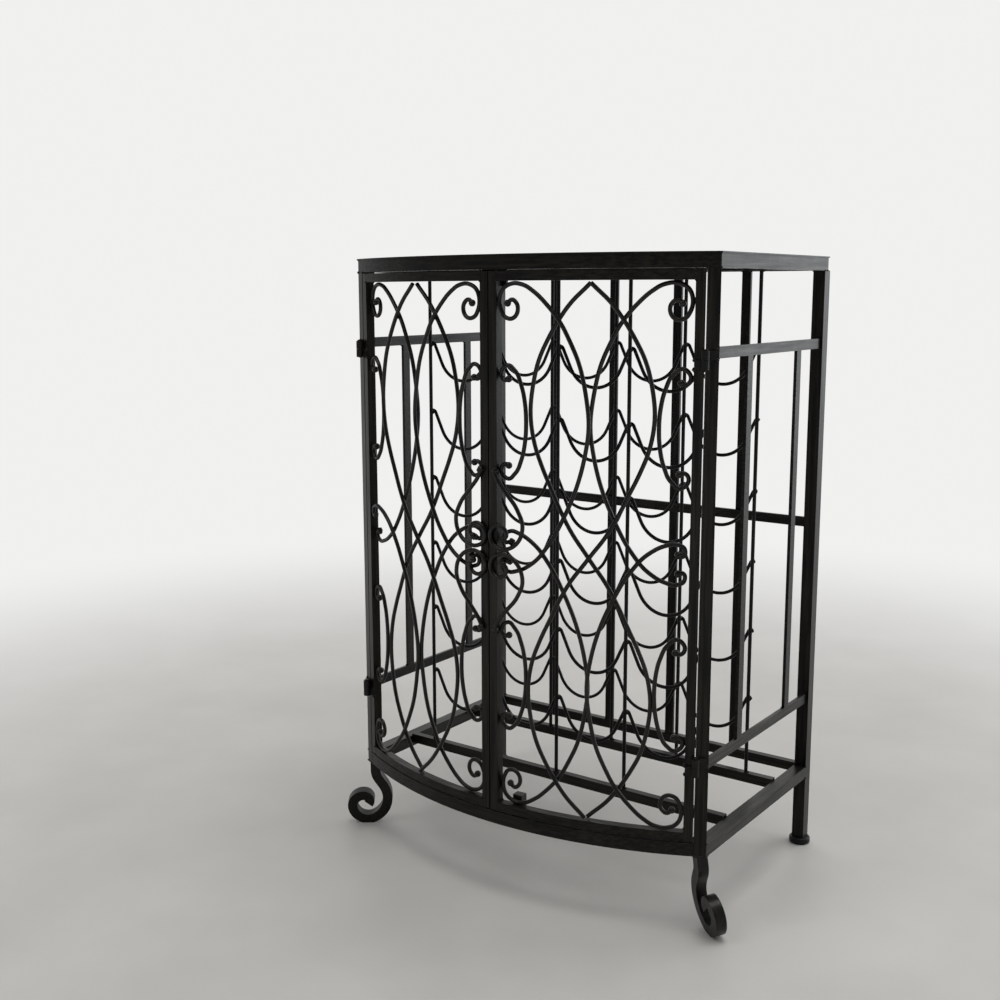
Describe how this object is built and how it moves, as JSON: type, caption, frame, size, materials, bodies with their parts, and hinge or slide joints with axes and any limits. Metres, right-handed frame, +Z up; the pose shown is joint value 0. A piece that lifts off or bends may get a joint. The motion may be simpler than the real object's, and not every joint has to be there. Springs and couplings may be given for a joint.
{
  "type": "wine rack",
  "caption": "Free-standing bow-front wrought-iron wine rack: square-tube frame, wavy wire bottle cradles in two planes and a pair of hinged scrollwork doors.",
  "frame": {"origin": "centre of the bounding box in plan, on the floor under the rack", "axes": "+Z up, +X to the right as seen by someone facing the doors, +Y from the bowed front to the back"},
  "size_m": [0.7414, 0.4894, 0.99],
  "materials": {
    "frame_iron": "brushed dark bronze-black paint, satin",
    "scroll_iron": "dark bronze-black paint on hand-bent rod, satin",
    "rack_wire": "black paint, satin",
    "foot_iron": "dark bronze-black paint, satin",
    "top_steel": "black paint, satin",
    "hinge_steel": "black paint over steel, worn satin",
    "glide_plastic": "black, matte"
  },
  "bodies": {
    "frame": {"bottom_rail_front": "frame_iron", "bottom_rail_left": "frame_iron", "bottom_rail_rear": "frame_iron", "bottom_rail_right": "frame_iron", "cradle_front_1": "rack_wire", "cradle_front_2": "rack_wire", "cradle_front_3": "rack_wire", "cradle_front_4": "rack_wire", "cradle_front_5": "rack_wire", "cradle_front_6": "rack_wire", "cradle_rear_1": "rack_wire", "cradle_rear_2": "rack_wire", "cradle_rear_3": "rack_wire", "cradle_rear_4": "rack_wire", "cradle_rear_5": "rack_wire", "cradle_rear_6": "rack_wire", "door_stops": "frame_iron", "front_foot_left": "foot_iron", "front_foot_right": "foot_iron", "front_post_left": "frame_iron", "front_post_right": "frame_iron", "hinge_pins": "hinge_steel", "post_hinge_knuckles": "hinge_steel", "rack_bottom_rails": "frame_iron", "rack_rods_front": "rack_wire", "rack_rods_rear": "rack_wire", "rack_top_rails": "frame_iron", "rear_cross_bar": "frame_iron", "rear_glides": "glide_plastic", "rear_post_left": "frame_iron", "rear_post_right": "frame_iron", "rear_slats": "frame_iron", "side_bars": "frame_iron", "side_spindles": "frame_iron", "top_rim_front": "frame_iron", "top_rim_left": "frame_iron", "top_rim_rear": "frame_iron", "top_rim_right": "frame_iron", "top_sheet": "top_steel"},
    "left_door": {"left_door_bottom_rail": "frame_iron", "left_door_centre_scrolls": "scroll_iron", "left_door_hinge_knuckles": "hinge_steel", "left_door_hinge_stile": "frame_iron", "left_door_lower_scrolls": "scroll_iron", "left_door_meeting_stile": "frame_iron", "left_door_side_scrolls": "scroll_iron", "left_door_top_rail": "frame_iron", "left_door_upper_scrolls": "scroll_iron", "left_door_wave_rods": "scroll_iron"},
    "right_door": {"right_door_bottom_rail": "frame_iron", "right_door_centre_scrolls": "scroll_iron", "right_door_hinge_knuckles": "hinge_steel", "right_door_hinge_stile": "frame_iron", "right_door_lower_scrolls": "scroll_iron", "right_door_meeting_stile": "frame_iron", "right_door_side_scrolls": "scroll_iron", "right_door_top_rail": "frame_iron", "right_door_upper_scrolls": "scroll_iron", "right_door_wave_rods": "scroll_iron"}
  },
  "joints": [
    {"name": "left_door_hinge", "type": "hinge", "parent": "frame", "child": "left_door", "pos_m": [-0.31641, -0.1672, 0.554], "axis": [0, 0, -1], "range_deg": [0, 110]},
    {"name": "right_door_hinge", "type": "hinge", "parent": "frame", "child": "right_door", "pos_m": [0.31641, -0.1672, 0.554], "axis": [0, 0, 1], "range_deg": [0, 110]}
  ]
}
